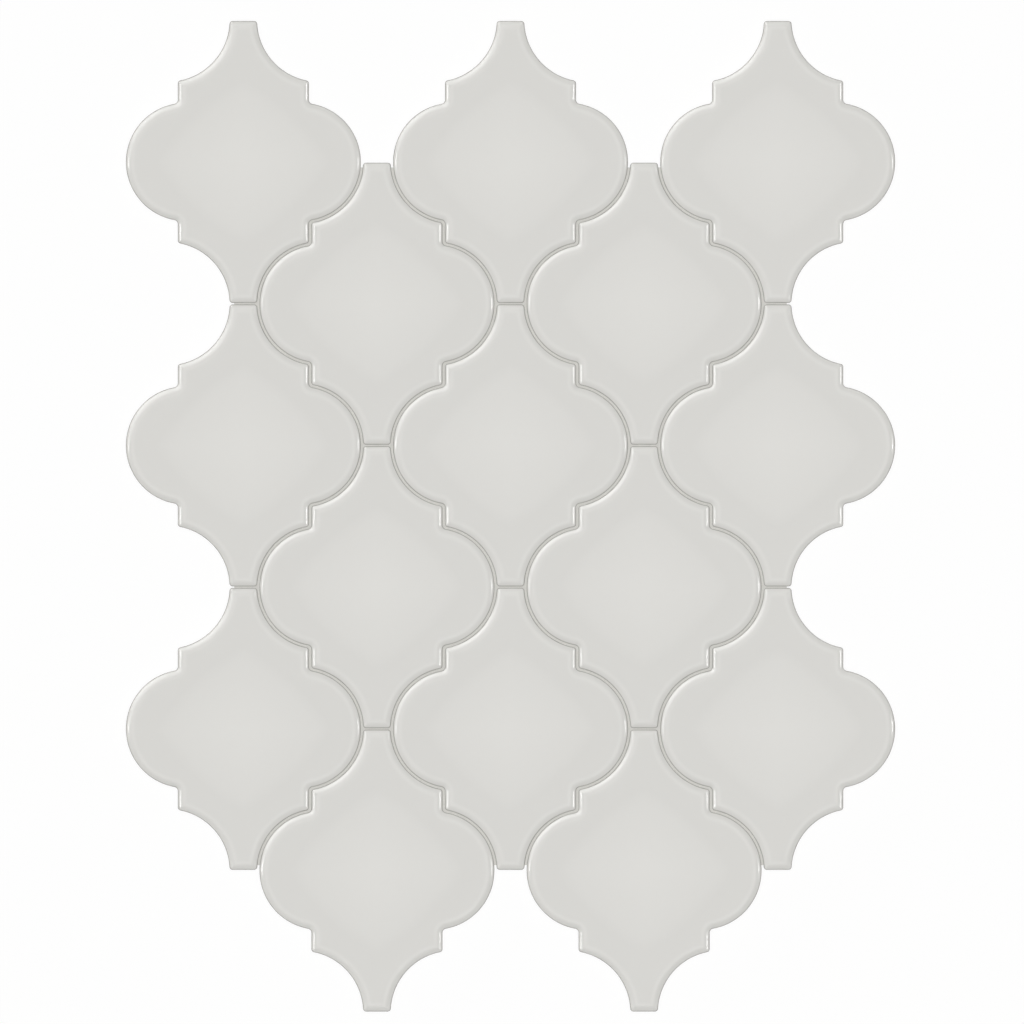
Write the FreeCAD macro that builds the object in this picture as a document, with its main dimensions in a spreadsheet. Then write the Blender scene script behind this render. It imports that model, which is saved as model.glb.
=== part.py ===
"""Mosaic sheet of glazed lantern (arabesque) tiles.

Fifteen pressed and glazed tiles interlock in rows of three and two. A scrim of glass yarns is glued across
their backs, and a pale grout fills the joints between them. The sheet lies face up: X runs along a row,
Y along the tips of the tiles and Z up through the glaze. The origin is the centre of the sheet on the
underside of the scrim. All sizes are in millimetres.
"""

import FreeCAD, Part
import math
import os
import Sketcher

# Driving dimensions, in millimetres: alias, size and what it measures.
DRIVING = (
    ("tile_width", 75.0, "across the two side lobes"),
    ("tile_length", 90.0, "from tip to tip"),
    ("tile_thickness", 6.0, "from the back to the glazed face"),
    ("lobe_radius", 18.85, "round of a side lobe"),
    ("tip_width", 8.8, "flat end of a tip, before its corners are rounded"),
    ("side_joint", 0.75, "gap between a lobe and the hollow it nests in"),
    ("step_joint", 0.8, "gap between two straight steps that face each other"),
    ("tip_joint", 0.5, "gap between two tips that meet end to end"),
    ("corner_radius", 1.0, "outer corners of the tips and steps, in plan"),
    ("notch_radius", 1.3, "inner corners between a step and a lobe, in plan"),
    ("edge_radius", 0.9, "rounding of the glazed edge"),
    ("groove_width", 2.0, "keying groove in the back"),
    ("groove_length", 32.0, "keying groove in the back"),
    ("groove_depth", 0.5, "keying groove in the back"),
    ("groove_pitch", 6.0, "from one keying groove to the next"),
    ("grout_recess", 1.0, "grout surface below the glazed face"),
    ("grout_setback", 1.5, "open end of a joint to the end of its grout"),
    ("yarn_width", 0.9, "flat glass yarn of the scrim"),
    ("yarn_thickness", 0.25, "flat glass yarn of the scrim"),
    ("yarn_pitch", 5.0, "from one yarn to the next"),
    ("scrim_inset", 2.0, "edge of the tiles to the trimmed edge of the scrim"),
)

# Tiles in each row, from the top of the sheet down. Rows of two sit over the gaps of rows of three.
ROW_TILES = (3, 2, 3, 2, 3, 2)
# Keying grooves in the back of each tile.
GROOVE_COUNT = 5

# Worked-out sizes, as expressions on the driving dimensions.
PITCH_X = "(Dimensions.tile_width + Dimensions.tip_width + 2 * Dimensions.side_joint)"
PITCH_Y = "(Dimensions.tile_length + Dimensions.tip_joint)"
LOBE_CENTRE = "(Dimensions.tile_width / 2 - Dimensions.lobe_radius)"
SCRIM_THICKNESS = "(2 * Dimensions.yarn_thickness)"
# Half of the sheet from the top of its first row to the bottom of its last, and across its widest row.
HALF_LENGTH = f"(Dimensions.tile_length + {len(ROW_TILES) - 1} * {PITCH_Y} / 2) / 2"
HALF_WIDTH = f"(Dimensions.tile_width + {max(ROW_TILES) - 1} * {PITCH_X}) / 2"


def new_dimensions(doc):
    """Spreadsheet that holds the driving dimensions, one alias to a row."""
    sheet = doc.addObject("Spreadsheet::Sheet", "Dimensions")
    for row, (alias, size, meaning) in enumerate(DRIVING, start=1):
        sheet.set(f"A{row}", alias)
        sheet.set(f"B{row}", str(size))
        sheet.set(f"C{row}", meaning)
        sheet.setAlias(f"B{row}", alias)
    doc.recompute()
    return sheet


def origin_feature(body, role):
    """One of a body's own origin planes or axes, such as XY_Plane."""
    return next(feature for feature in body.Origin.OriginFeatures if feature.Role == role)


def new_sketch(body, name):
    """Empty sketch on the body's own XY plane."""
    sketch = body.newObject("Sketcher::SketchObject", name)
    sketch.AttachmentSupport = [(origin_feature(body, "XY_Plane"), "")]
    sketch.MapMode = "FlatFace"
    return sketch


def bind(sketch, constraint, name, expression):
    """Adds a dimension to a sketch, names it and drives it with an expression."""
    index = sketch.addConstraint(constraint)
    sketch.renameConstraint(index, name)
    sketch.setExpression(f"Constraints.{name}", expression)


def lantern_quarter(body, sheet, inset):
    """Sketch of a quarter of the lantern outline, closed along X and Y and drawn in by a named size.

    The hollow shares its centre with the lobe of the diagonal neighbour, so the joint between them
    has one width from end to end, and each tile fits any other.
    """
    sketch = new_sketch(body, f"{body.Name}_outline")
    set_in = sheet.get(inset) if inset else 0.0
    less = f" - Dimensions.{inset}" if inset else ""
    more = f" + Dimensions.{inset}" if inset else ""
    pitch_x = sheet.tile_width + sheet.tip_width + 2 * sheet.side_joint
    pitch_y = sheet.tile_length + sheet.tip_joint
    lobe_x = sheet.tile_width / 2 - sheet.lobe_radius
    lobe_round = sheet.lobe_radius - set_in
    hollow_x = pitch_x / 2 - lobe_x
    hollow_y = pitch_y / 2
    hollow_round = sheet.lobe_radius + sheet.side_joint + set_in
    step_x = (pitch_x / 2 - sheet.step_joint) / 2 - set_in
    tip_y = sheet.tile_length / 2 - set_in
    lobe_end = math.acos((step_x - lobe_x) / lobe_round)
    hollow_start = math.pi + math.asin((hollow_y - tip_y) / hollow_round)
    hollow_end = math.pi + math.acos((hollow_x - step_x) / hollow_round)

    def point(x, y):
        return FreeCAD.Vector(x, y, 0)

    lobe = Part.Circle(point(lobe_x, 0), FreeCAD.Vector(0, 0, 1), lobe_round)
    hollow = Part.Circle(point(hollow_x, hollow_y), FreeCAD.Vector(0, 0, 1), hollow_round)
    step_low = point(step_x, lobe_round * math.sin(lobe_end))
    step_high = point(step_x, hollow_y + hollow_round * math.sin(hollow_end))
    tip_corner = point(hollow_x + hollow_round * math.cos(hollow_start), tip_y)
    centre, side, tip = point(0, 0), point(lobe_x + lobe_round, 0), point(0, tip_y)
    sketch.addGeometry([
        Part.LineSegment(centre, side),
        Part.ArcOfCircle(lobe, 0, lobe_end),
        Part.LineSegment(step_low, step_high),
        Part.ArcOfCircle(hollow, hollow_start, hollow_end),
        Part.LineSegment(tip_corner, tip),
        Part.LineSegment(tip, centre),
    ], False)
    middle, arc, step, bay, end, spine = range(6)
    axis_x, origin = -1, -1
    start, finish, about = 1, 2, 3
    sketch.addConstraint([
        Sketcher.Constraint("Coincident", middle, start, origin, start),
        Sketcher.Constraint("Horizontal", middle),
        Sketcher.Constraint("Coincident", middle, finish, arc, start),
        Sketcher.Constraint("PointOnObject", arc, about, axis_x),
        Sketcher.Constraint("Coincident", arc, finish, step, start),
        Sketcher.Constraint("Vertical", step),
        Sketcher.Constraint("Coincident", step, finish, bay, finish),
        Sketcher.Constraint("Coincident", bay, start, end, start),
        Sketcher.Constraint("Horizontal", end),
        Sketcher.Constraint("Coincident", end, finish, spine, start),
        Sketcher.Constraint("Vertical", spine),
        Sketcher.Constraint("Coincident", spine, finish, origin, start),
    ])
    bind(sketch, Sketcher.Constraint("DistanceX", origin, start, arc, about, lobe_x), "lobe_centre", LOBE_CENTRE)
    bind(sketch, Sketcher.Constraint("Radius", arc, lobe_round), "lobe_round", f"Dimensions.lobe_radius{less}")
    bind(sketch, Sketcher.Constraint("DistanceX", origin, start, step, start, step_x), "step_side",
         f"({PITCH_X} / 2 - Dimensions.step_joint) / 2{less}")
    bind(sketch, Sketcher.Constraint("DistanceX", origin, start, bay, about, hollow_x), "hollow_across",
         f"{PITCH_X} / 2 - {LOBE_CENTRE}")
    bind(sketch, Sketcher.Constraint("DistanceY", origin, start, bay, about, hollow_y), "hollow_along",
         f"{PITCH_Y} / 2")
    bind(sketch, Sketcher.Constraint("Radius", bay, hollow_round), "hollow_round",
         f"Dimensions.lobe_radius + Dimensions.side_joint{more}")
    bind(sketch, Sketcher.Constraint("DistanceY", origin, start, end, start, tip_y), "tip_end",
         f"Dimensions.tile_length / 2{less}")
    return sketch


def lantern_slab(doc, sheet, name, thickness, inset=""):
    """Body with the lantern outline: a padded quarter, mirrored across both middle planes."""
    body = doc.addObject("PartDesign::Body", name)
    pad = body.newObject("PartDesign::Pad", f"{name}_pad")
    pad.Profile = lantern_quarter(body, sheet, inset)
    pad.setExpression("Length", thickness)
    doc.recompute()
    for plane in ("YZ_Plane", "XZ_Plane"):
        mirrored = body.newObject("PartDesign::Mirrored", f"{name}_{plane[:2].lower()}_mirror")
        mirrored.TransformMode = "Whole shape"
        mirrored.MirrorPlane = (origin_feature(body, plane), [""])
        mirrored.Refine = True
        body.Tip = mirrored
        doc.recompute()
    return body


def round_edges(doc, body, name, radius, wanted):
    """Fillet of every edge of a body that the test picks, with its radius driven by a named size."""
    base = body.Tip
    names = [f"Edge{index}" for index, edge in enumerate(base.Shape.Edges, start=1) if wanted(edge)]
    fillet = body.newObject("PartDesign::Fillet", name)
    fillet.Base = (base, names)
    fillet.setExpression("Radius", f"Dimensions.{radius}")
    body.Tip = fillet
    doc.recompute()
    return fillet


def upright(edge):
    """Tells whether an edge stands along Z."""
    return abs(edge.Vertexes[0].Z - edge.Vertexes[-1].Z) > 0.9 * edge.Length


def rectangle(body, name, width, length, sizes):
    """Sketch of a rectangle: its width and length, and how far its first corner is left of and below the middle."""
    sketch = new_sketch(body, name)
    corners = [
        FreeCAD.Vector(-width, -length, 0),
        FreeCAD.Vector(0, -length, 0),
        FreeCAD.Vector(0, 0, 0),
        FreeCAD.Vector(-width, 0, 0),
    ]
    for index, corner in enumerate(corners):
        sketch.addGeometry(Part.LineSegment(corner, corners[(index + 1) % 4]), False)
    for index, direction in enumerate(("Horizontal", "Vertical", "Horizontal", "Vertical")):
        sketch.addConstraint(Sketcher.Constraint("Coincident", index, 2, (index + 1) % 4, 1))
        sketch.addConstraint(Sketcher.Constraint(direction, index))
    bind(sketch, Sketcher.Constraint("DistanceX", 0, 1, 0, 2, width), "width", sizes["width"])
    bind(sketch, Sketcher.Constraint("DistanceY", 1, 1, 1, 2, length), "length", sizes["length"])
    bind(sketch, Sketcher.Constraint("DistanceX", 0, 1, -1, 1, width), "left", sizes["left"])
    bind(sketch, Sketcher.Constraint("DistanceY", 0, 1, -1, 1, length), "below", sizes["below"])
    return sketch


def tile_blank(doc, sheet):
    """Pressed tile with its corners and glazed edge rounded and a plain back at Z = 0."""
    body = lantern_slab(doc, sheet, "lantern", "Dimensions.tile_thickness")
    face = sheet.tile_thickness
    lobe = sheet.lobe_radius
    round_edges(doc, body, "outer_corners", "corner_radius",
                lambda edge: upright(edge) and abs(edge.Vertexes[0].Y) > lobe)
    round_edges(doc, body, "inner_corners", "notch_radius",
                lambda edge: upright(edge) and 0.5 * lobe < abs(edge.Vertexes[0].Y) < lobe
                and edge.Length > 0.9 * face and abs(edge.Vertexes[0].X) < sheet.tile_width / 2)
    round_edges(doc, body, "glazed_edge", "edge_radius",
                lambda edge: min(vertex.Z for vertex in edge.Vertexes) > 0.99 * face)
    return body


def tile_pattern(doc, sheet, blank):
    """The tile that every tile of the sheet repeats: the blank with keying grooves pressed in its back."""
    body = doc.addObject("PartDesign::Body", "keyed_lantern")
    body.BaseFeature = blank
    doc.recompute()
    sketch = rectangle(body, "groove_outline", sheet.groove_width, sheet.groove_length, {
        "width": "Dimensions.groove_width",
        "length": "Dimensions.groove_length",
        "left": f"{(GROOVE_COUNT - 1) / 2} * Dimensions.groove_pitch + Dimensions.groove_width / 2",
        "below": "Dimensions.groove_length / 2",
    })
    doc.recompute()
    groove = body.newObject("PartDesign::Pocket", "keying_groove")
    groove.Profile = sketch
    groove.Reversed = True
    groove.setExpression("Length", "Dimensions.groove_depth")
    body.Tip = groove
    doc.recompute()
    grooves = body.newObject("PartDesign::LinearPattern", "keying_grooves")
    grooves.Originals = [groove]
    grooves.Direction = (origin_feature(body, "X_Axis"), [""])
    grooves.Mode = "Spacing"
    grooves.setExpression("Offset", "Dimensions.groove_pitch")
    grooves.Occurrences = GROOVE_COUNT
    body.Tip = grooves
    doc.recompute()
    return body


def row_places():
    """Name and X and Y expressions of every tile of the sheet, from the top row down."""
    places = []
    for row, count in enumerate(ROW_TILES):
        along = f"{HALF_LENGTH} - Dimensions.tile_length / 2 - {row} * {PITCH_Y} / 2"
        for column in range(count):
            across = f"{column - (count - 1) / 2} * {PITCH_X}"
            places.append((f"r{row + 1}_c{column + 1}", across, along))
    return places


def repeat(doc, pattern, name, across, along, height):
    """Body that repeats a pattern body at a place given by expressions."""
    body = doc.addObject("PartDesign::Body", name)
    body.Label = name
    body.BaseFeature = pattern
    doc.recompute()
    body.setExpression("Placement.Base.x", across)
    body.setExpression("Placement.Base.y", along)
    body.setExpression("Placement.Base.z", height)
    return body


def joint_block(doc, name, low, high):
    """Box over the joints of the sheet, from the open ends of the outer ones, between two heights."""
    half_across = f"({PITCH_X} * {max(ROW_TILES) - 1} / 2 + Dimensions.tip_width / 2 - Dimensions.grout_setback)"
    half_along = f"({HALF_LENGTH} - {PITCH_Y} / 2 - Dimensions.grout_setback)"
    box = doc.addObject("Part::Box", name)
    box.setExpression("Length", f"2 * {half_across}")
    box.setExpression("Width", f"2 * {half_along}")
    box.setExpression("Height", f"{high} - {low}")
    box.setExpression("Placement.Base.x", f"-{half_across}")
    box.setExpression("Placement.Base.y", f"-{half_along}")
    box.setExpression("Placement.Base.z", low)
    return box


def yarn_layer(doc, sheet, name, axis, half_run, half_spread, low):
    """Body of parallel flat yarns, longer than the sheet, spread evenly along an axis from a low side."""
    body = doc.addObject("PartDesign::Body", name)
    body.AllowCompound = True
    spread = 2 * half_spread - 2 * sheet.scrim_inset - sheet.yarn_width
    count = int(spread / sheet.yarn_pitch) + 1
    run = f"2 * {half_run}"
    edge = f"{(count - 1) / 2} * Dimensions.yarn_pitch + Dimensions.yarn_width / 2"
    sizes = {"width": run, "length": "Dimensions.yarn_width", "left": half_run, "below": edge}
    if axis == "X_Axis":
        sizes = {"width": "Dimensions.yarn_width", "length": run, "left": edge, "below": half_run}
    sketch = rectangle(body, f"{name}_outline", half_spread, half_spread, sizes)
    doc.recompute()
    yarn = body.newObject("PartDesign::Pad", f"{name}_yarn")
    yarn.Profile = sketch
    yarn.setExpression("Length", "Dimensions.yarn_thickness")
    doc.recompute()
    yarns = body.newObject("PartDesign::LinearPattern", f"{name}_yarns")
    yarns.Originals = [yarn]
    yarns.Direction = (origin_feature(body, axis), [""])
    yarns.Mode = "Spacing"
    yarns.setExpression("Offset", "Dimensions.yarn_pitch")
    yarns.Occurrences = count
    body.Tip = yarns
    body.setExpression("Placement.Base.z", low)
    doc.recompute()
    return body


def boolean(doc, kind, name, base, tool):
    """Part::Cut or Part::Common of two objects, labelled with its name."""
    result = doc.addObject(kind, name)
    result.Base = base
    result.Tool = tool
    result.Label = name
    doc.recompute()
    return result


def sound(doc, pieces):
    """Stops the build if any object failed or any piece is not a valid closed shape."""
    for item in doc.Objects:
        if "Invalid" in item.State or "Error" in item.State:
            raise RuntimeError(f"{item.Name} is {item.State}")
    for piece in pieces:
        shape = piece.Shape
        if shape.isNull() or not shape.isValid() or not shape.Solids:
            raise RuntimeError(f"{piece.Name} has no sound shape")


def main():
    """Builds the sheet and writes one STEP file for each piece."""
    doc = FreeCAD.newDocument("arabesque_sheet")
    sheet = new_dimensions(doc)
    places = row_places()

    blank = tile_blank(doc, sheet)
    pattern = tile_pattern(doc, sheet, blank)
    tiles = [repeat(doc, pattern, f"tile_{place}", across, along, SCRIM_THICKNESS)
             for place, across, along in places]
    doc.recompute()

    face = f"({SCRIM_THICKNESS} + Dimensions.tile_thickness)"
    blanks = doc.addObject("Part::Compound", "tile_blanks")
    blanks.Links = [repeat(doc, blank, f"blank_{place}", across, along, SCRIM_THICKNESS)
                    for place, across, along in places]
    block = joint_block(doc, "grout_block", SCRIM_THICKNESS, f"({face} - Dimensions.grout_recess)")
    doc.recompute()
    grout = boolean(doc, "Part::Cut", "joint_grout", block, blanks)

    patch = lantern_slab(doc, sheet, "scrim_patch", SCRIM_THICKNESS, "scrim_inset")
    patches = [repeat(doc, patch, f"patch_{place}", across, along, "0") for place, across, along in places]
    trim = doc.addObject("Part::MultiFuse", "scrim_trim")
    trim.Shapes = [joint_block(doc, "scrim_block", "0", SCRIM_THICKNESS)] + patches
    doc.recompute()
    half_length = (sheet.tile_length + (len(ROW_TILES) - 1) * (sheet.tile_length + sheet.tip_joint) / 2) / 2
    pitch_x = sheet.tile_width + sheet.tip_width + 2 * sheet.side_joint
    half_width = (sheet.tile_width + (max(ROW_TILES) - 1) * pitch_x) / 2
    lower = yarn_layer(doc, sheet, "yarns_across", "Y_Axis", HALF_WIDTH, half_length, "0")
    upper = yarn_layer(doc, sheet, "yarns_along", "X_Axis", HALF_LENGTH, half_width, "Dimensions.yarn_thickness")
    across = boolean(doc, "Part::Common", "scrim_yarns_across", lower, trim)
    along = boolean(doc, "Part::Common", "scrim_yarns_along", upper, trim)

    pieces = tiles + [grout, across, along]
    sound(doc, pieces)
    os.makedirs("parts", exist_ok=True)
    for piece in pieces:
        piece.Shape.exportStep(f"parts/{piece.Label}.step")


if __name__ == "__main__":
    main()
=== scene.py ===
"""Studio scene of a glossy off-white lantern mosaic sheet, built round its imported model."""

import logging
import math
from dataclasses import dataclass, field
from enum import Enum
from typing import Any, Iterable, Mapping

import bmesh
import bpy
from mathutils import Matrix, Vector


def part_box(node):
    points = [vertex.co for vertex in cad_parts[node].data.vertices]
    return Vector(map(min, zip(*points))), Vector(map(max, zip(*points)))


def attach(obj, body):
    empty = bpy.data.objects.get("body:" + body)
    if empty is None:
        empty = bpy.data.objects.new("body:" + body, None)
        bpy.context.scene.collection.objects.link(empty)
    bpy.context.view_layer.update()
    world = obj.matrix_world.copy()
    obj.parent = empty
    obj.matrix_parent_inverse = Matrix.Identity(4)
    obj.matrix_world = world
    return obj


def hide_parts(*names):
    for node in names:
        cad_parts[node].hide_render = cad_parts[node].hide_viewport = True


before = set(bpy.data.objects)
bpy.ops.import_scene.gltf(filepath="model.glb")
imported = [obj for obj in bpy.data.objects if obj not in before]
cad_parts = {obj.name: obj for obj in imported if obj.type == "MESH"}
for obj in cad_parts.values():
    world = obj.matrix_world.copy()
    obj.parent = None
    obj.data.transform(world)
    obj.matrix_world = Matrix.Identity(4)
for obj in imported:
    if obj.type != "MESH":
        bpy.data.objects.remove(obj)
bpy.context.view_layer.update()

BODY = "root"
MM = 0.001
WHITE = "FFFFFF"
WHITE_STRENGTH = 1.0
# Plan map of a tile: the length of the tile is 1, and its middle lies here.
PLAN_MAP = "plan"
PLAN_MIDDLE = 0.5
# Distance of each point of a tile from its outline, and below it on the upright side.
INSET_LAYER = "inset_mm"
# Sockets of a Mix node that mixes two colours.
MIX_SHARE = 0
MIX_FIRST = 6
MIX_SECOND = 7
MIX_RESULT = 2
# Width of one band of the Wave texture at a scale of 1.
WAVE_BAND = math.pi / 10
# Share of its box that an oval lamp fills.
OVAL_SHARE = math.pi / 4
log = logging.getLogger("lantern_sheet")


class Slot(Enum):
    """Material slots of the record, for the glaze and the scrim."""

    GLAZE = "glaze"
    SCRIM = "scrim"


class YarnRun(Enum):
    """Direction in which the yarns of a scrim layer run, as the axis across them."""

    ACROSS = "Y"
    ALONG = "X"


class LampUse(Enum):
    """What a lamp does: a square fill lights the sheet, and an oval card shows in its gloss."""

    FILL = "RECTANGLE"
    CARD = "ELLIPSE"


def linear(hex_colour: str) -> tuple[float, float, float, float]:
    """Turns an sRGB hex colour into linear light.

    Args:
        hex_colour: Colour such as "D8D7D3".

    Returns:
        Linear red, green and blue, with an alpha of 1.
    """
    channels = [int(hex_colour[start:start + 2], 16) / 255 for start in (0, 2, 4)]
    light = [c / 12.92 if c <= 0.04045 else ((c + 0.055) / 1.055) ** 2.4 for c in channels]
    return light[0], light[1], light[2], 1.0


def add_node(
    tree: bpy.types.NodeTree,
    kind: str,
    settings: Mapping[str, Any] | None = None,
    inputs: Mapping[str | int, Any] | None = None,
) -> bpy.types.Node:
    """Adds a node with its settings, values and links.

    Args:
        tree: Tree that gets the node.
        kind: Blender's name of the node type.
        settings: Properties of the node to set.
        inputs: Value or output socket for each named or numbered input.

    Returns:
        The new node.
    """
    node = tree.nodes.new(kind)
    for name, value in (settings or {}).items():
        setattr(node, name, value)
    for name, value in (inputs or {}).items():
        if isinstance(value, bpy.types.NodeSocket):
            tree.links.new(value, node.inputs[name])
        else:
            node.inputs[name].default_value = value
    return node


def new_material(name: str) -> tuple[bpy.types.Material, bpy.types.NodeTree, bpy.types.Node]:
    """Makes an empty node material.

    Args:
        name: Name of the material.

    Returns:
        The material, its node tree and its output node.
    """
    material = bpy.data.materials.new(name)
    material.use_nodes = True
    tree = material.node_tree
    tree.nodes.clear()
    return material, tree, add_node(tree, "ShaderNodeOutputMaterial")


def new_piece(
    name: str,
    mesh_data: bmesh.types.BMesh,
    materials: Iterable[bpy.types.Material],
) -> bpy.types.Object:
    """Makes an object of a finished bmesh, at the origin and riding on the sheet.

    Args:
        name: Name of the piece.
        mesh_data: Finished bmesh, which is freed.
        materials: Materials for its slots, in order.

    Returns:
        The new object.
    """
    mesh = bpy.data.meshes.new(name)
    mesh_data.to_mesh(mesh)
    mesh_data.free()
    for material in materials:
        mesh.materials.append(material)
    piece = bpy.data.objects.new(name, mesh)
    bpy.context.scene.collection.objects.link(piece)
    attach(piece, BODY)
    return piece


@dataclass(frozen=True)
class LanternSizes:
    """Sizes of one lantern tile and its place among its neighbours, in millimetres."""

    width: float = 75.0
    length: float = 90.0
    thickness: float = 6.0
    lobe_radius: float = 18.85
    tip_width: float = 8.8
    side_joint: float = 0.75
    step_joint: float = 0.8
    tip_joint: float = 0.5
    corner_radius: float = 1.0
    notch_radius: float = 1.3
    groove_width: float = 2.0
    groove_length: float = 32.0
    groove_depth: float = 0.5
    groove_pitch: float = 6.0
    groove_count: int = 5

    @property
    def lobe_centre(self) -> float:
        """Distance from the middle of the tile to the centre of a lobe."""
        return self.width / 2 - self.lobe_radius

    @property
    def half_pitch(self) -> Vector:
        """Place of the diagonal neighbour: half of a pitch across and half of a pitch along."""
        across = self.width + self.tip_width + 2 * self.side_joint
        return Vector((across / 2, (self.length + self.tip_joint) / 2))

    @property
    def hollow_centre(self) -> Vector:
        """Centre of the hollow: that of the diagonal neighbour's lobe."""
        return self.half_pitch - Vector((self.lobe_centre, 0))

    @property
    def hollow_radius(self) -> float:
        """Radius of the hollow that takes the neighbour's lobe."""
        return self.lobe_radius + self.side_joint

    @property
    def step_side(self) -> float:
        """Distance from the middle of the tile to its straight step."""
        return (self.half_pitch.x - self.step_joint) / 2

    @property
    def groove_middles(self) -> list[float]:
        """Distances of the keying grooves from the middle of the tile."""
        middle = (self.groove_count - 1) / 2
        return [(index - middle) * self.groove_pitch for index in range(self.groove_count)]


@dataclass(frozen=True)
class GlossGlaze:
    """Tin-white gloss glaze on pressed porcelain, dipped and fired.

    It gives the eye sharp soft-box reflections on the rounded edge and a level face. The tone is painted
    palest in the middle and deeper towards the lobes and tips: painted light standing for the gloss of a
    slightly domed face. A paler band is painted along the shoulder of the rounded edge as a painted
    highlight, and a dark line is painted where the edge turns down, as painted shade of the steep edge.
    """

    # The face is painted lighter towards its middle, through the shoulder tone to the rim tone: painted
    # light standing for the gloss of a slightly domed face. The rim tone is the glaze's own colour.
    middle: str = "DDDCD8"
    shoulder: str = "D9D8D4"
    rim: str = "D6D5D1"
    # Paler band painted along the shoulder where the rounded edge meets the face: a painted highlight.
    painted_highlight: str = "D9D8D4"
    # Dark line painted along the edge of the glaze: painted shade of the steep edge where it turns down to
    # the side.
    outline: str = "A9A7A2"
    # How far the painted light on the face reaches along and across, how square it is, and where its
    # halfway tone sits.
    painted_light_reach_mm: tuple[float, float] = (27.8, 26.2)
    painted_light_roundness: float = 1.25
    painted_light_shoulder: float = 0.83
    # Distance of the painted highlight band from the outline, and half of its width.
    painted_highlight_inset_mm: float = 2.1
    painted_highlight_half_mm: float = 1.2
    # Distance of the painted edge shade from the outline, and half of its width.
    edge_shade_inset_mm: float = 0.08
    edge_shade_half_mm: float = 0.3
    roughness: float = 0.14
    ior: float = 1.52
    ripple_mm: float = 9.0
    ripple_height_mm: float = 0.002
    ripple_detail: float = 1.0

    def material(self, sizes: LanternSizes) -> bpy.types.Material:
        """Makes the glaze for a tile of the given sizes.

        Args:
            sizes: Sizes that the plan map of the tile is scaled by.

        Returns:
            The glaze material.
        """
        material, tree, output = new_material("gloss_glaze")
        inset = add_node(tree, "ShaderNodeAttribute", {"attribute_name": INSET_LAYER}).outputs["Fac"]
        # The face tone carries painted light, lighter towards its middle, and a painted highlight band
        # along the shoulder of the rounded edge.
        tone = add_node(tree, "ShaderNodeMix", {"data_type": "RGBA"}, {
            MIX_SHARE: self.band(tree, inset, self.painted_highlight_inset_mm, self.painted_highlight_half_mm),
            MIX_FIRST: self.painted_light_pool(tree, sizes),
            MIX_SECOND: linear(self.painted_highlight),
        })
        # Painted shade: a dark line along the edge of the glaze.
        edge_shaded_tone = add_node(tree, "ShaderNodeMix", {"data_type": "RGBA"}, {
            MIX_SHARE: self.band(tree, inset, self.edge_shade_inset_mm, self.edge_shade_half_mm),
            MIX_FIRST: tone.outputs[MIX_RESULT],
            MIX_SECOND: linear(self.outline),
        })
        coordinates = add_node(tree, "ShaderNodeTexCoord")
        ripple = add_node(tree, "ShaderNodeTexNoise", {}, {
            "Vector": coordinates.outputs["Object"],
            "Scale": 1 / (self.ripple_mm * MM),
            "Detail": self.ripple_detail,
        })
        bump = add_node(tree, "ShaderNodeBump", {},
                        {"Height": ripple.outputs[0], "Distance": self.ripple_height_mm * MM})
        shader = add_node(tree, "ShaderNodeBsdfPrincipled", {}, {
            "Base Color": edge_shaded_tone.outputs[MIX_RESULT],
            "Roughness": self.roughness,
            "IOR": self.ior,
            "Normal": bump.outputs["Normal"],
        })
        tree.links.new(shader.outputs[0], output.inputs["Surface"])
        return material

    def painted_light_pool(self, tree: bpy.types.NodeTree, sizes: LanternSizes) -> bpy.types.NodeSocket:
        """Adds the tone of the face: painted light, palest in its middle and deeper towards its edge.

        Args:
            tree: Tree of the glaze.
            sizes: Sizes that the plan map of the tile is scaled by.

        Returns:
            The colour.
        """
        plan = add_node(tree, "ShaderNodeUVMap", {"uv_map": PLAN_MAP})
        centred = add_node(tree, "ShaderNodeVectorMath", {"operation": "SUBTRACT"},
                           {0: plan.outputs["UV"], 1: (PLAN_MIDDLE, PLAN_MIDDLE, 0.0)})
        quarter = add_node(tree, "ShaderNodeVectorMath", {"operation": "ABSOLUTE"},
                           {0: centred.outputs["Vector"]})
        reach = (sizes.length / self.painted_light_reach_mm[0], sizes.length / self.painted_light_reach_mm[1], 0.0)
        share = add_node(tree, "ShaderNodeVectorMath", {"operation": "MULTIPLY"},
                         {0: quarter.outputs["Vector"], 1: reach})
        rounded = add_node(tree, "ShaderNodeVectorMath", {"operation": "POWER"},
                           {0: share.outputs["Vector"], 1: (self.painted_light_roundness, self.painted_light_roundness, 1.0)})
        spread = add_node(tree, "ShaderNodeVectorMath", {"operation": "DOT_PRODUCT"},
                          {0: rounded.outputs["Vector"], 1: (1.0, 1.0, 0.0)})
        ramp = add_node(tree, "ShaderNodeValToRGB", {}, {"Fac": spread.outputs["Value"]})
        stops = ramp.color_ramp.elements
        stops[0].color = linear(self.middle)
        stops[1].color = linear(self.rim)
        stops.new(self.painted_light_shoulder ** self.painted_light_roundness).color = linear(self.shoulder)
        return ramp.outputs["Color"]

    def band(
        self,
        tree: bpy.types.NodeTree,
        inset: bpy.types.NodeSocket,
        middle_mm: float,
        half_mm: float,
    ) -> bpy.types.NodeSocket:
        """Adds a soft band that follows the outline.

        Args:
            tree: Tree of the glaze.
            inset: Distance from the outline.
            middle_mm: Distance of the middle of the band from the outline.
            half_mm: Half of its width.

        Returns:
            A share that is 1 on the middle of the band and fades to 0 at its sides.
        """
        offset = add_node(tree, "ShaderNodeMath", {"operation": "SUBTRACT"}, {0: inset, 1: middle_mm})
        distance = add_node(tree, "ShaderNodeMath", {"operation": "ABSOLUTE"}, {0: offset.outputs[0]})
        fade = add_node(tree, "ShaderNodeMapRange", {"interpolation_type": "SMOOTHSTEP"},
                        {"Value": distance.outputs[0], "From Min": half_mm, "From Max": 0.0})
        return fade.outputs["Result"]


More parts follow.
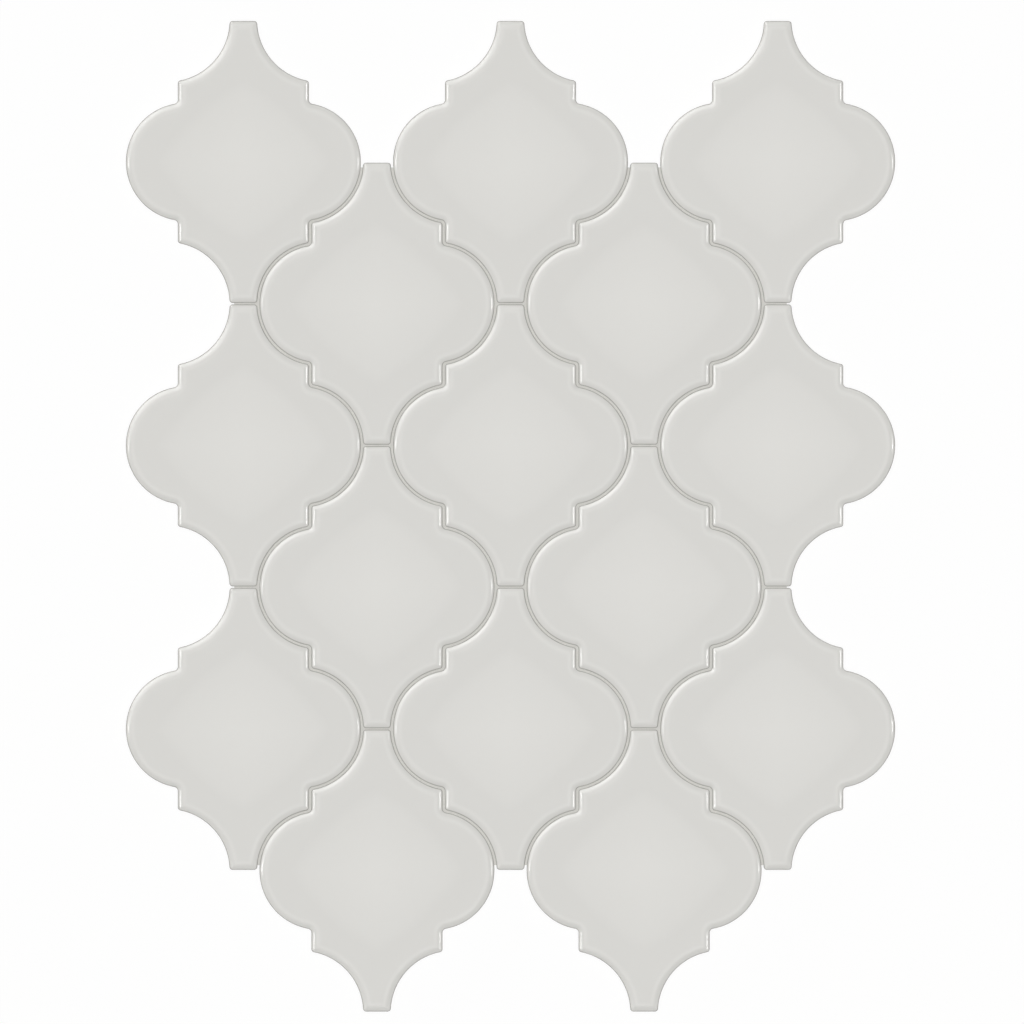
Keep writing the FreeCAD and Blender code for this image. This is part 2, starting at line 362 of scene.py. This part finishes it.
@dataclass(frozen=True)
class GrainedFinish:
    """Dry finish whose grain sets both its tone and its relief."""

    name: str
    light: str
    dark: str
    roughness: float
    grain_mm: float
    grain_height_mm: float
    grain_detail: float

    def material(self) -> bpy.types.Material:
        """Makes the finish with an even, sandy grain."""
        material, tree, output = new_material(self.name)
        coordinates = add_node(tree, "ShaderNodeTexCoord")
        grain = add_node(tree, "ShaderNodeTexNoise", {}, {
            "Vector": coordinates.outputs["Object"],
            "Scale": 1 / (self.grain_mm * MM),
            "Detail": self.grain_detail,
        })
        self.shade(tree, output, grain.outputs[0])
        return material

    def shade(self, tree: bpy.types.NodeTree, output: bpy.types.Node, grain: bpy.types.NodeSocket) -> None:
        """Adds the shader of the finish.

        Args:
            tree: Tree of the material.
            output: Output node of the material.
            grain: Grain, from 0 in its hollows to 1 on its heights.
        """
        tone = add_node(tree, "ShaderNodeMix", {"data_type": "RGBA"},
                        {MIX_SHARE: grain, MIX_FIRST: linear(self.dark), MIX_SECOND: linear(self.light)})
        bump = add_node(tree, "ShaderNodeBump", {},
                        {"Height": grain, "Distance": self.grain_height_mm * MM})
        shader = add_node(tree, "ShaderNodeBsdfPrincipled", {}, {
            "Base Color": tone.outputs[MIX_RESULT],
            "Roughness": self.roughness,
            "Normal": bump.outputs["Normal"],
        })
        tree.links.new(shader.outputs[0], output.inputs["Surface"])


@dataclass(frozen=True)
class Biscuit(GrainedFinish):
    """Unglazed pressed porcelain: a dry, matt, faintly warm body with a fine pressed grain."""

    name: str = "porcelain_biscuit"
    light: str = "E3DFD6"
    dark: str = "D6D1C6"
    roughness: float = 0.88
    # Coarser than the real grain, so that it shows.
    grain_mm: float = 0.5
    grain_height_mm: float = 0.03
    grain_detail: float = 4.0


@dataclass(frozen=True)
class CementGrout(GrainedFinish):
    """Pale cement grout, wiped with a sponge: matt, with fine sand that breaks up its surface."""

    name: str = "cement_grout"
    light: str = "D8D7D2"
    dark: str = "C4C3BE"
    roughness: float = 0.93
    # Coarser than the real sand, so that it shows.
    grain_mm: float = 0.45
    grain_height_mm: float = 0.06
    grain_detail: float = 3.0


@dataclass(frozen=True)
class GlassYarn(GrainedFinish):
    """Glass-fibre yarn with a resin coat: milky, with a soft sheen and fine filaments along it."""

    run: YarnRun = YarnRun.ACROSS
    name: str = "glass_yarn"
    light: str = "EFEDE6"
    dark: str = "D9D6CC"
    roughness: float = 0.45
    # Bundles of filaments, because one filament is too fine to show.
    grain_mm: float = 0.18
    grain_height_mm: float = 0.02
    grain_detail: float = 2.0
    waviness: float = 1.5

    def material(self) -> bpy.types.Material:
        """Makes the yarn finish of one layer."""
        material, tree, output = new_material(f"{self.name}_{self.run.name.lower()}")
        coordinates = add_node(tree, "ShaderNodeTexCoord")
        filaments = add_node(tree, "ShaderNodeTexWave", {"bands_direction": self.run.value}, {
            "Vector": coordinates.outputs["Object"],
            "Scale": WAVE_BAND / (self.grain_mm * MM),
            "Distortion": self.waviness,
            "Detail": self.grain_detail,
        })
        self.shade(tree, output, filaments.outputs[0])
        return material


@dataclass
class TileField:
    """The fifteen glazed tiles, each in the place of its node.

    Lengths are in millimetres and angles in degrees.
    """

    sizes: LanternSizes = field(default_factory=LanternSizes)
    cushion_reach: float = 2.2
    cushion_turn: float = 29.0
    cushion_steps: int = 10
    foot_radius: float = 0.45
    foot_steps: int = 6
    flat_insets: tuple[float, ...] = (2.55, 3.0, 3.6)
    arris: float = 0.12
    glaze_line: float = 1.6
    least_corner: float = 0.04
    straight_end: float = 0.12
    lobe_steps: int = 22
    hollow_steps: int = 20
    corner_steps: int = 6
    seam: float = 0.0001
    groove_draft: float = 0.05
    back_normal: float = -0.9
    crease: float = 30.0

    @property
    def cushion_radius(self) -> float:
        """Radius of the shallow arc that rounds the face over."""
        turn = math.radians(self.cushion_turn)
        return (self.cushion_reach - self.foot_radius * (1 - math.sin(turn))) / math.sin(turn)

    @property
    def foot_level(self) -> float:
        """Height at which the rounded edge meets the upright side."""
        turn = math.radians(self.cushion_turn)
        drop = self.cushion_radius * (1 - math.cos(turn)) + self.foot_radius * math.cos(turn)
        return self.sizes.thickness - drop

    def build(self, nodes: Iterable[str]) -> list[bpy.types.Object]:
        """Builds and dresses a tile for each node.

        Args:
            nodes: Names of the tile nodes.

        Returns:
            The tiles.
        """
        finishes = [GlossGlaze().material(self.sizes), Biscuit().material()]
        pattern = self.pattern()
        tiles = []
        for node in nodes:
            low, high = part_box(node)
            mesh_data = pattern.copy()
            foot = Vector(((low.x + high.x) / 2, (low.y + high.y) / 2, low.z))
            bmesh.ops.translate(mesh_data, verts=mesh_data.verts, vec=foot)
            tile = new_piece(f"{node}_glazed", mesh_data, finishes)
            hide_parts(node)
            tiles.append(tile)
        pattern.free()
        return tiles

    def pattern(self) -> bmesh.types.BMesh:
        """Makes the tile that all repeat, with the middle of its back at the origin."""
        seam = self.seam * MM
        mesh_data = bmesh.new()
        mesh_data.verts.layers.float.new(INSET_LAYER)
        rings = [self.quarter_ring(mesh_data, inset, height) for inset, height in self.profile()]
        for lower, upper in zip(rings, rings[1:]):
            bmesh.ops.bridge_loops(mesh_data, edges=lower + upper)
        for axis in ("X", "Y"):
            quarter = mesh_data.verts[:] + mesh_data.edges[:] + mesh_data.faces[:]
            bmesh.ops.mirror(mesh_data, geom=quarter, axis=axis, merge_dist=seam)
        bmesh.ops.remove_doubles(mesh_data, verts=mesh_data.verts, dist=seam)
        rims = [edge for edge in mesh_data.edges if edge.is_boundary]
        bmesh.ops.holes_fill(mesh_data, edges=rims, sides=0)
        bmesh.ops.recalc_face_normals(mesh_data, faces=mesh_data.faces)
        self.press_grooves(mesh_data)
        self.shade(mesh_data)
        return mesh_data

    def profile(self) -> list[tuple[float, float]]:
        """Section of the tile's edge from its back to its face, as insets and heights.

        A long shallow arc rounds the face over, and a tight one turns it down to the upright side.
        """
        face = self.sizes.thickness
        turn = math.radians(self.cushion_turn)
        section = [(self.arris, 0.0), (0.0, self.arris), (0.0, self.glaze_line)]
        for step in range(self.foot_steps):
            slope = math.pi / 2 + (turn - math.pi / 2) * step / self.foot_steps
            inset = self.foot_radius * (1 - math.sin(slope))
            section.append((inset, self.foot_level + self.foot_radius * math.cos(slope)))
        for step in range(self.cushion_steps + 1):
            slope = turn * (1 - step / self.cushion_steps)
            inset = self.cushion_reach - self.cushion_radius * math.sin(slope)
            section.append((inset, face - self.cushion_radius * (1 - math.cos(slope))))
        section += [(inset, face) for inset in self.flat_insets]
        return section

    def quarter_ring(
        self,
        mesh_data: bmesh.types.BMesh,
        inset: float,
        height: float,
    ) -> list[bmesh.types.BMEdge]:
        """Draws a quarter of the outline, set in from the edge, from the side of the tile to its tip.

        Args:
            mesh_data: Bmesh that gets the edges.
            inset: Distance inside the outline.
            height: Height above the back.

        Returns:
            The edges of the quarter.
        """
        sizes = self.sizes
        lobe = Vector((sizes.lobe_centre, 0))
        hollow = sizes.hollow_centre
        hollow_radius = sizes.hollow_radius + inset
        step = sizes.step_side - inset
        tip = sizes.length / 2 - inset
        corner = max(sizes.corner_radius - inset, self.least_corner)

        # Centres of the small rounds: the notch, the step's outer corner and the tip's corner.
        notch_x = sizes.step_side + sizes.notch_radius
        notch_reach = sizes.lobe_radius + sizes.notch_radius
        notch = Vector((notch_x, math.sqrt(notch_reach ** 2 - (notch_x - lobe.x) ** 2)))
        corner_x = step - corner
        drop = math.sqrt((hollow_radius + corner) ** 2 - (hollow.x - corner_x) ** 2)
        outer = Vector((corner_x, hollow.y - drop))
        shift = math.sqrt((hollow_radius + corner) ** 2 - (hollow.y - tip + corner) ** 2)
        end = Vector((hollow.x - shift, tip - corner))

        # Angles at which the arcs run into each other.
        notch_turn = math.atan2(notch.y, notch.x - lobe.x)
        outer_turn = math.atan2(hollow.y - outer.y, hollow.x - outer.x)
        end_turn = math.atan2(hollow.y - end.y, hollow.x - end.x)

        start = len(mesh_data.edges)
        level = height * MM
        side = ((lobe.x + sizes.lobe_radius - inset) * MM, 0, level)
        last = bmesh.ops.create_vert(mesh_data, co=side)["vert"][0]

        def swing(centre: Vector, angle: float, steps: int) -> None:
            """Carries the path round a centre by an angle."""
            nonlocal last
            made = bmesh.ops.spin(mesh_data, geom=[last], cent=(centre.x * MM, centre.y * MM, level),
                                  axis=(0, 0, 1), angle=angle, steps=steps, use_merge=False)
            last = next(item for item in made["geom_last"] if isinstance(item, bmesh.types.BMVert))

        def draw_to(x: float, y: float) -> None:
            """Carries the path straight to a point."""
            nonlocal last
            made = bmesh.ops.extrude_vert_indiv(mesh_data, verts=[last])
            last = made["verts"][0]
            last.co = (x * MM, y * MM, level)

        swing(lobe, notch_turn, self.lobe_steps)
        swing(notch, -notch_turn, self.corner_steps)
        draw_to(step, notch.y + self.straight_end)
        draw_to(step, outer.y - self.straight_end)
        draw_to(step, outer.y)
        swing(outer, outer_turn, self.corner_steps)
        swing(hollow, end_turn - outer_turn, self.hollow_steps)
        swing(end, math.pi / 2 - end_turn, self.corner_steps)
        draw_to(end.x - self.straight_end, tip)
        draw_to(0.0, tip)
        mesh_data.edges.ensure_lookup_table()
        ring = mesh_data.edges[start:]
        layer = mesh_data.verts.layers.float[INSET_LAYER]
        for edge in ring:
            for vert in edge.verts:
                vert[layer] = inset + min(height - self.foot_level, 0.0)
        return ring

    def press_grooves(self, mesh_data: bmesh.types.BMesh) -> None:
        """Presses the keying grooves into the back.

        Args:
            mesh_data: Tile with a plain back, pointing down.
        """
        sizes = self.sizes
        half_length = sizes.groove_length / 2
        half_width = sizes.groove_width / 2
        along, across = Vector((0, 1, 0)), Vector((1, 0, 0))
        cuts = [(side * half_length * along, along) for side in (-1, 1)]
        for middle in sizes.groove_middles:
            cuts += [((middle + side * half_width) * across, across) for side in (-1, 1)]
        for point, normal in cuts:
            back = [face for face in mesh_data.faces if face.normal.z < self.back_normal]
            edges = {edge for face in back for edge in face.edges}
            verts = {vert for face in back for vert in face.verts}
            bmesh.ops.bisect_plane(mesh_data, geom=list(verts) + list(edges) + back,
                                   plane_co=point * MM, plane_no=normal)
        grooves = []
        for face in mesh_data.faces:
            centre = face.calc_center_median() / MM
            near = min(abs(centre.x - middle) for middle in sizes.groove_middles)
            on_back = face.normal.z < self.back_normal
            if on_back and near < half_width and abs(centre.y) < half_length:
                grooves.append(face)
        bmesh.ops.inset_region(mesh_data, faces=grooves, thickness=self.groove_draft * MM,
                               depth=-sizes.groove_depth * MM, use_even_offset=True)

    def shade(self, mesh_data: bmesh.types.BMesh) -> None:
        """Sets the smooth faces, the unglazed faces and the plan map of the tile.

        Args:
            mesh_data: Finished tile.
        """
        plan = mesh_data.loops.layers.uv.new(PLAN_MAP)
        for face in mesh_data.faces:
            middle = face.calc_center_median().z / MM
            face.smooth = True
            face.material_index = 1 if middle < self.glaze_line else 0
            for loop in face.loops:
                local = loop.vert.co / (self.sizes.length * MM)
                loop[plan].uv = (local.x + PLAN_MIDDLE, local.y + PLAN_MIDDLE)
        for edge in mesh_data.edges:
            if edge.is_manifold and edge.calc_face_angle() > math.radians(self.crease):
                edge.smooth = False


@dataclass
class JointGrout:
    """The web of grout between the tiles."""

    node: str = "joint_grout"

    def dress(self) -> bpy.types.Object:
        """Gives the grout its cement finish."""
        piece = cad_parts[self.node]
        piece.data.materials.clear()
        piece.data.materials.append(CementGrout().material())
        return piece


@dataclass
class BackingScrim:
    """The two layers of glass yarn that carry the tiles.

    Lengths are in millimetres and angles in degrees.
    """

    bevel: float = 0.09
    bevel_steps: int = 2
    seam: float = 0.001
    flat: float = 2.0

    def build(self) -> list[bpy.types.Object]:
        """Builds and dresses both layers."""
        layers = []
        for run, node in ((YarnRun.ACROSS, "scrim_yarns_across"), (YarnRun.ALONG, "scrim_yarns_along")):
            mesh_data = bmesh.new()
            mesh_data.from_mesh(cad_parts[node].data)
            bmesh.ops.remove_doubles(mesh_data, verts=mesh_data.verts, dist=self.seam * MM)
            bmesh.ops.dissolve_limit(mesh_data, angle_limit=math.radians(self.flat),
                                     verts=mesh_data.verts, edges=mesh_data.edges)
            bmesh.ops.bevel(mesh_data, geom=mesh_data.edges[:], offset=self.bevel * MM,
                            offset_type="OFFSET", segments=self.bevel_steps, profile=0.5,
                            affect="EDGES", material=-1, clamp_overlap=True)
            for face in mesh_data.faces:
                face.smooth = True
            layer = new_piece(f"{node}_laid", mesh_data, [GlassYarn(run=run).material()])
            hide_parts(node)
            layers.append(layer)
        return layers


@dataclass(frozen=True)
class Softbox:
    """Studio lamp that faces the sheet, placed and sized in degrees as seen from the sheet."""

    name: str
    use: LampUse
    azimuth: float
    elevation: float
    half_width: float
    half_height: float
    radiance: float
    distance: float = 20.0

    def build(self) -> None:
        """Hangs the lamp and turns it to the sheet."""
        data = bpy.data.lights.new(self.name, "AREA")
        data.shape = self.use.value
        data.size = 2 * self.distance * math.tan(math.radians(self.half_width))
        data.size_y = 2 * self.distance * math.tan(math.radians(self.half_height))
        filled = OVAL_SHARE if self.use is LampUse.CARD else 1.0
        data.energy = self.radiance * math.pi * data.size * data.size_y * filled
        lamp = bpy.data.objects.new(self.name, data)
        turn, rise = math.radians(self.azimuth), math.radians(self.elevation)
        level = math.cos(rise)
        away = Vector((math.cos(turn) * level, math.sin(turn) * level, math.sin(rise)))
        lamp.location = away * self.distance
        lamp.rotation_euler = away.to_track_quat("Z", "Y").to_euler()
        lamp.visible_camera = False
        lamp.visible_diffuse = self.use is LampUse.FILL
        lamp.visible_glossy = self.use is LampUse.CARD
        bpy.context.scene.collection.objects.link(lamp)


@dataclass
class Studio:
    """White floor, soft lamps and a camera that looks straight down on the sheet."""

    floor_half: float = 4.0
    floor_gap_mm: float = 0.02
    floor_white: str = "F2F2F0"
    shadow_share: float = 0.06
    ambient: float = 0.10
    lens: float = 1500.0
    sensor: float = 36.0
    depth: float = 40.0
    frame_mm: float = 326.9
    aim_mm: tuple[float, float] = (0.47, 1.365)
    face_mm: float = 6.5
    # Use, azimuth, elevation, half width, half height and radiance of each lamp.
    lamps: tuple[Softbox, ...] = (
        Softbox("overhead_fill", LampUse.FILL, 90.0, 90.0, 15.0, 15.0, 9.75),
        Softbox("upper_left_low_fill", LampUse.FILL, 135.0, 12.0, 25.0, 8.0, 3.0),
        Softbox("underside_fill", LampUse.FILL, 90.0, -90.0, 20.0, 20.0, 3.6),
        Softbox("upper_left_tall_card", LampUse.CARD, 132.0, 60.0, 23.0, 16.0, 1.5),
        Softbox("upper_left_high_card", LampUse.CARD, 132.0, 55.0, 24.0, 11.5, 1.3),
        Softbox("upper_left_middle_card", LampUse.CARD, 132.0, 49.0, 25.0, 7.0, 2.1),
        Softbox("upper_left_low_card", LampUse.CARD, 132.0, 36.5, 26.0, 9.0, 3.6),
        Softbox("left_card", LampUse.CARD, 178.8, 50.4, 4.7, 4.5, 12.0),
        Softbox("right_card", LampUse.CARD, 1.3, 50.0, 4.8, 4.5, 13.2),
    )

    def build(self) -> None:
        """Builds the floor, the world, the lamps and the camera."""
        self.floor()
        self.world()
        for lamp in self.lamps:
            lamp.build()
        self.camera()
        bpy.context.scene.view_settings.view_transform = "Standard"

    def seen(self, tree: bpy.types.NodeTree) -> bpy.types.NodeSocket:
        """Adds a switch that is 1 for camera, glossy and transmission rays.

        Args:
            tree: Node tree that gets the switch.

        Returns:
            Its output.
        """
        path = add_node(tree, "ShaderNodeLightPath")
        direct = add_node(tree, "ShaderNodeMath", {"operation": "MAXIMUM"},
                          {0: path.outputs["Is Camera Ray"], 1: path.outputs["Is Glossy Ray"]})
        every = add_node(tree, "ShaderNodeMath", {"operation": "MAXIMUM"},
                         {0: direct.outputs[0], 1: path.outputs["Is Transmission Ray"]})
        return every.outputs[0]

    def floor(self) -> None:
        """Lays the floor: matt white, shown at full white with a faint shadow, and clear from below.

        It casts no shadow itself, so that the lamp below reaches the back of the sheet.
        """
        mesh_data = bmesh.new()
        bmesh.ops.create_grid(mesh_data, x_segments=1, y_segments=1, size=self.floor_half)
        bmesh.ops.translate(mesh_data, verts=mesh_data.verts, vec=(0.0, 0.0, -self.floor_gap_mm * MM))
        mesh = bpy.data.meshes.new("studio_floor")
        mesh_data.to_mesh(mesh)
        mesh_data.free()
        floor = bpy.data.objects.new("studio_floor", mesh)
        bpy.context.scene.collection.objects.link(floor)
        material, tree, output = new_material("matt_white_floor")
        matt = add_node(tree, "ShaderNodeBsdfDiffuse", {}, {"Color": linear(self.floor_white)})
        white = add_node(tree, "ShaderNodeEmission", {}, {"Strength": WHITE_STRENGTH})
        share = add_node(tree, "ShaderNodeMath", {"operation": "MULTIPLY"},
                         {0: self.seen(tree), 1: 1 - self.shadow_share})
        shown = add_node(tree, "ShaderNodeMixShader", {},
                         {0: share.outputs[0], 1: matt.outputs[0], 2: white.outputs[0]})
        side = add_node(tree, "ShaderNodeNewGeometry")
        clear = add_node(tree, "ShaderNodeBsdfTransparent", {}, {"Color": linear(WHITE)})
        path = add_node(tree, "ShaderNodeLightPath")
        open_to = add_node(tree, "ShaderNodeMath", {"operation": "MAXIMUM"},
                           {0: side.outputs["Backfacing"], 1: path.outputs["Is Shadow Ray"]})
        both = add_node(tree, "ShaderNodeMixShader", {},
                        {0: open_to.outputs[0], 1: shown.outputs[0], 2: clear.outputs[0]})
        tree.links.new(both.outputs[0], output.inputs["Surface"])
        mesh.materials.append(material)

    def world(self) -> None:
        """Makes the world: white where it shows, and a low even fill as light."""
        world = bpy.data.worlds.new("studio_world")
        bpy.context.scene.world = world
        world.use_nodes = True
        tree = world.node_tree
        tree.nodes.clear()
        output = add_node(tree, "ShaderNodeOutputWorld")
        fill = add_node(tree, "ShaderNodeMapRange", {},
                        {"Value": self.seen(tree), "To Min": self.ambient, "To Max": WHITE_STRENGTH})
        background = add_node(tree, "ShaderNodeBackground", {},
                              {"Color": linear(WHITE), "Strength": fill.outputs["Result"]})
        tree.links.new(background.outputs[0], output.inputs["Surface"])

    def camera(self) -> None:
        """Hangs the camera over the sheet, far off with a long lens, its frame fitted to the face plane."""
        data = bpy.data.cameras.new("copy_stand_camera")
        data.lens = self.lens
        data.sensor_width = self.sensor
        data.clip_end = self.depth
        camera = bpy.data.objects.new("copy_stand_camera", data)
        rise = self.frame_mm * MM * self.lens / self.sensor
        camera.location = (self.aim_mm[0] * MM, self.aim_mm[1] * MM, self.face_mm * MM + rise)
        bpy.context.scene.collection.objects.link(camera)
        bpy.context.scene.camera = camera


def main() -> None:
    """Builds the sheet and its studio, and reports each piece."""
    logging.basicConfig(level=logging.INFO, format="%(name)s: %(message)s")
    tiles = TileField().build(sorted(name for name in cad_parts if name.startswith("tile_")))
    pieces = tiles + [JointGrout().dress()] + BackingScrim().build()
    Studio().build()
    for piece in pieces:
        log.info("%s: %d faces", piece.name, len(piece.data.polygons))


if __name__ == "__main__":
    main()
